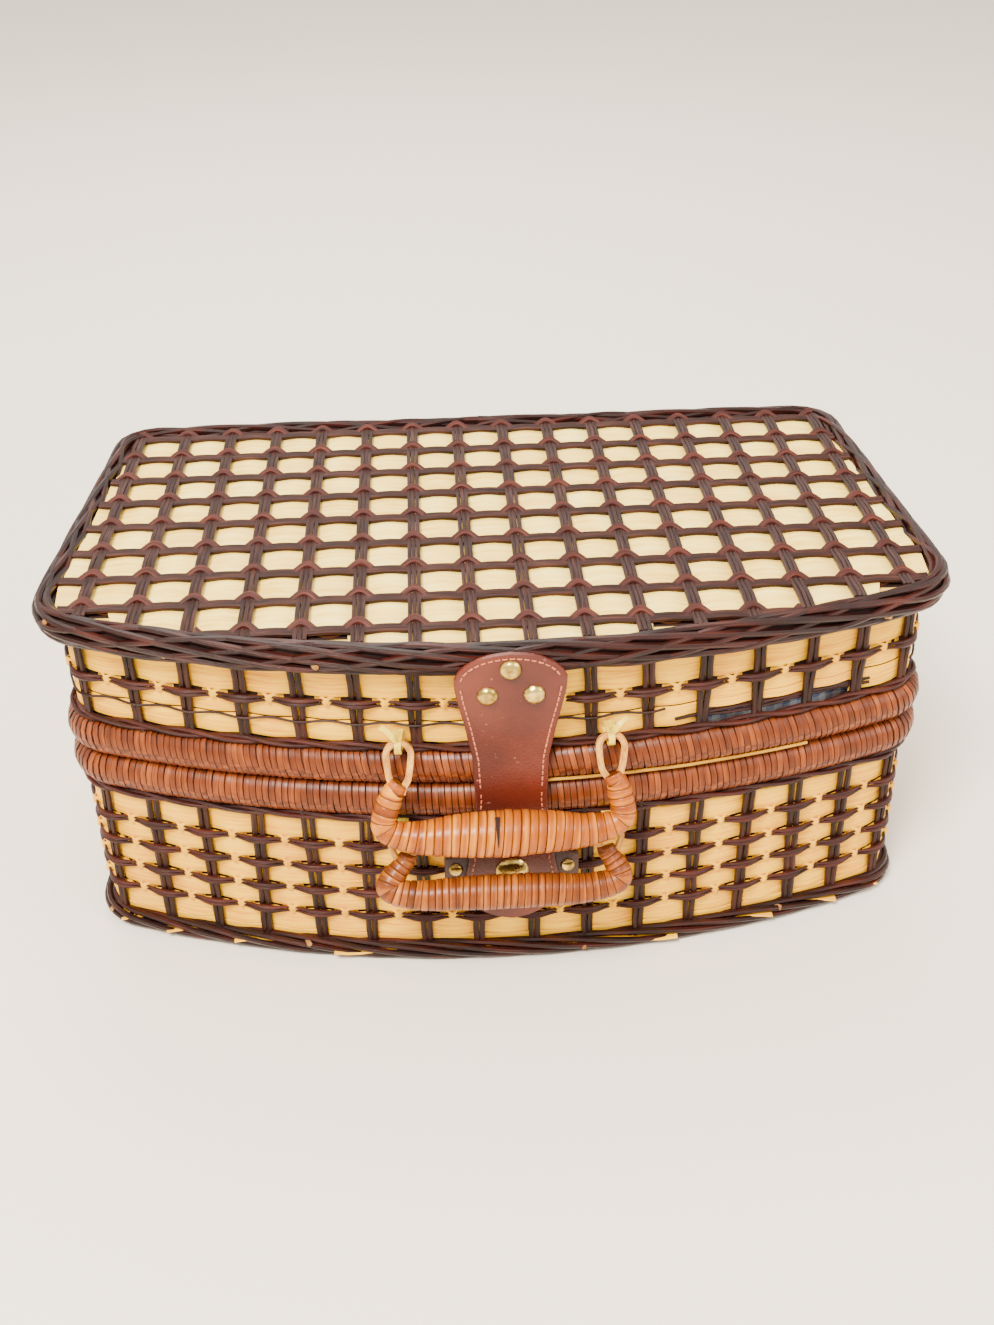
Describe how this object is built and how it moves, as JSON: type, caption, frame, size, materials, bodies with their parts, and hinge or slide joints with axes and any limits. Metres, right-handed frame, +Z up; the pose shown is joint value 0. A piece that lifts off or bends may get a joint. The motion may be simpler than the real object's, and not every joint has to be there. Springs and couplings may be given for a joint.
{
  "type": "picnic basket",
  "caption": "Bow-fronted woven cane picnic hamper with a hinged lid, leather strap with press stud, and two wound cane handles.",
  "frame": {"origin": "centre of the whole hamper's footprint, handles included, on the surface that the foot border stands on", "axes": "+Z up, the bowed front and its handles face -Y, +X along the length"},
  "size_m": [0.4764, 0.3114, 0.208],
  "materials": {
    "cane_splint": "pale split cane with a faint grain",
    "dark_rod": "stained willow rods, dark red-brown",
    "lapped_cane": "orange-brown cane lapping with a soft gloss",
    "handle_cane": "glossy wound cane",
    "pale_cane": "pale peeled cane",
    "leather": "red-brown leather with a soft sheen",
    "brass": "polished brass",
    "lining_cloth": "blue and white checked cotton"
  },
  "bodies": {
    "base": {"base_floor": "cane_splint", "base_foot_border": "dark_rod", "base_wall": "cane_splint", "base_stakes": "dark_rod", "base_weavers": "dark_rod", "base_rim_outer_hoop": "lapped_cane", "base_rim_inner_hoop": "lapped_cane", "base_lining": "lining_cloth", "base_hinge_leaves": "leather", "base_hinge_rivets": "brass", "base_handle_ties": "pale_cane", "stud_patch": "leather", "patch_rivets": "brass", "press_stud_post": "brass"},
    "lid": {"lid_top_panel": "cane_splint", "lid_wall": "cane_splint", "lid_top_border": "dark_rod", "lid_column_rods": "dark_rod", "lid_row_rods": "dark_rod", "lid_stakes": "dark_rod", "lid_weavers": "dark_rod", "lid_rim_outer_hoop": "lapped_cane", "lid_rim_inner_hoop": "lapped_cane", "lid_lining": "lining_cloth", "strap_upper": "leather", "strap_rivets": "brass", "lid_hinge_leaves": "leather", "lid_hinge_rivets": "brass", "lid_handle_ties": "pale_cane"},
    "strap_tab": {"strap_tab": "leather", "press_stud_socket": "brass", "press_stud_cap": "brass"},
    "lid_handle": {"lid_handle_grip": "handle_cane", "lid_handle_eyes": "pale_cane"},
    "base_handle": {"base_handle_grip": "handle_cane", "base_handle_eyes": "pale_cane"}
  },
  "joints": [
    {"name": "lid_hinge", "type": "hinge", "parent": "base", "child": "lid", "pos_m": [0, 0.1498, 0.12], "axis": [-1, 0, 0], "range_deg": [0, 105]},
    {"name": "strap_flap", "type": "hinge", "parent": "lid", "child": "strap_tab", "pos_m": [0, -0.12685, 0.12], "axis": [-1, 0, 0], "range_deg": [0, 6]},
    {"name": "lid_handle_swing", "type": "hinge", "parent": "lid", "child": "lid_handle", "pos_m": [0, -0.1288, 0.1506], "axis": [-1, 0, 0], "range_deg": [0, 120]},
    {"name": "base_handle_swing", "type": "hinge", "parent": "base", "child": "base_handle", "pos_m": [0, -0.1288, 0.095], "axis": [-1, 0, 0], "range_deg": [0, 120]}
  ],
  "couplings": [
    {"joint": "base_handle_swing", "follows": "lid_handle_swing", "ratio": 1}
  ]
}
